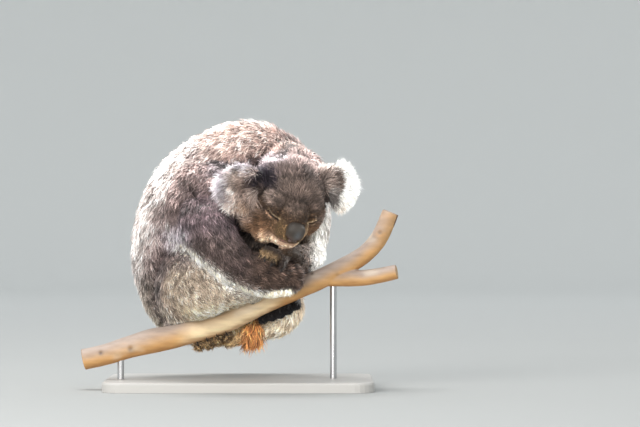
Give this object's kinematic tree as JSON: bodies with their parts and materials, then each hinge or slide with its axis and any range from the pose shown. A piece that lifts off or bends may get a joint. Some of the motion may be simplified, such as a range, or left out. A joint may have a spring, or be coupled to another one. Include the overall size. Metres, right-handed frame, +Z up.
{
  "type": "koala, life-size still model asleep on a branch perch",
  "caption": "Curled koala asleep on a sloping forked gum branch, head bowed over folded arms, the branch held by two short rods on a flat base.",
  "frame": {"origin": "middle of the underside of the stand's base, at the level it rests on", "axes": "+Z up; +X along the branch towards its fork and raised end; -Y is the side the animal's right flank and face turn to"},
  "size_m": [0.5685, 0.3166, 0.4882],
  "materials": {
    "fur": "dense woolly grey-brown fur, cream on belly, flanks and chin",
    "ear_fur": "long cream and grey ear fringe",
    "nose": "fine-grained dark leathery skin, satin",
    "eye": "wet dark brown, nearly shut",
    "claw": "black horn",
    "bark": "smooth gum bark, grey-lilac above and tan below",
    "stand_base": "pale satin paint",
    "stand_rod": "brushed"
  },
  "bodies": {
    "root": {"claw_foot_left_1": "claw", "claw_foot_left_2": "claw", "claw_foot_left_3": "claw", "claw_foot_left_4": "claw", "claw_foot_right_1": "claw", "claw_foot_right_2": "claw", "claw_foot_right_3": "claw", "claw_foot_right_4": "claw", "claw_hand_left_1": "claw", "claw_hand_left_2": "claw", "claw_hand_left_3": "claw", "claw_hand_left_4": "claw", "claw_hand_left_5": "claw", "claw_hand_right_1": "claw", "claw_hand_right_2": "claw", "claw_hand_right_3": "claw", "claw_hand_right_4": "claw", "claw_hand_right_5": "claw", "ear_left": "ear_fur", "ear_right": "ear_fur", "eye_left": "eye", "eye_right": "eye", "foot_left": "fur", "foot_right": "fur", "forearm_left": "fur", "forearm_right": "fur", "hand_left": "fur", "hand_right": "fur", "head": "fur", "neck": "fur", "nose": "nose", "perch_branch": "bark", "shank_left": "fur", "shank_right": "fur", "stand_base": "stand_base", "stand_rod_1": "stand_rod", "stand_rod_2": "stand_rod", "thigh_left": "fur", "thigh_right": "fur", "trunk": "fur", "upper_arm_left": "fur", "upper_arm_right": "fur"}
  },
  "joints": []
}
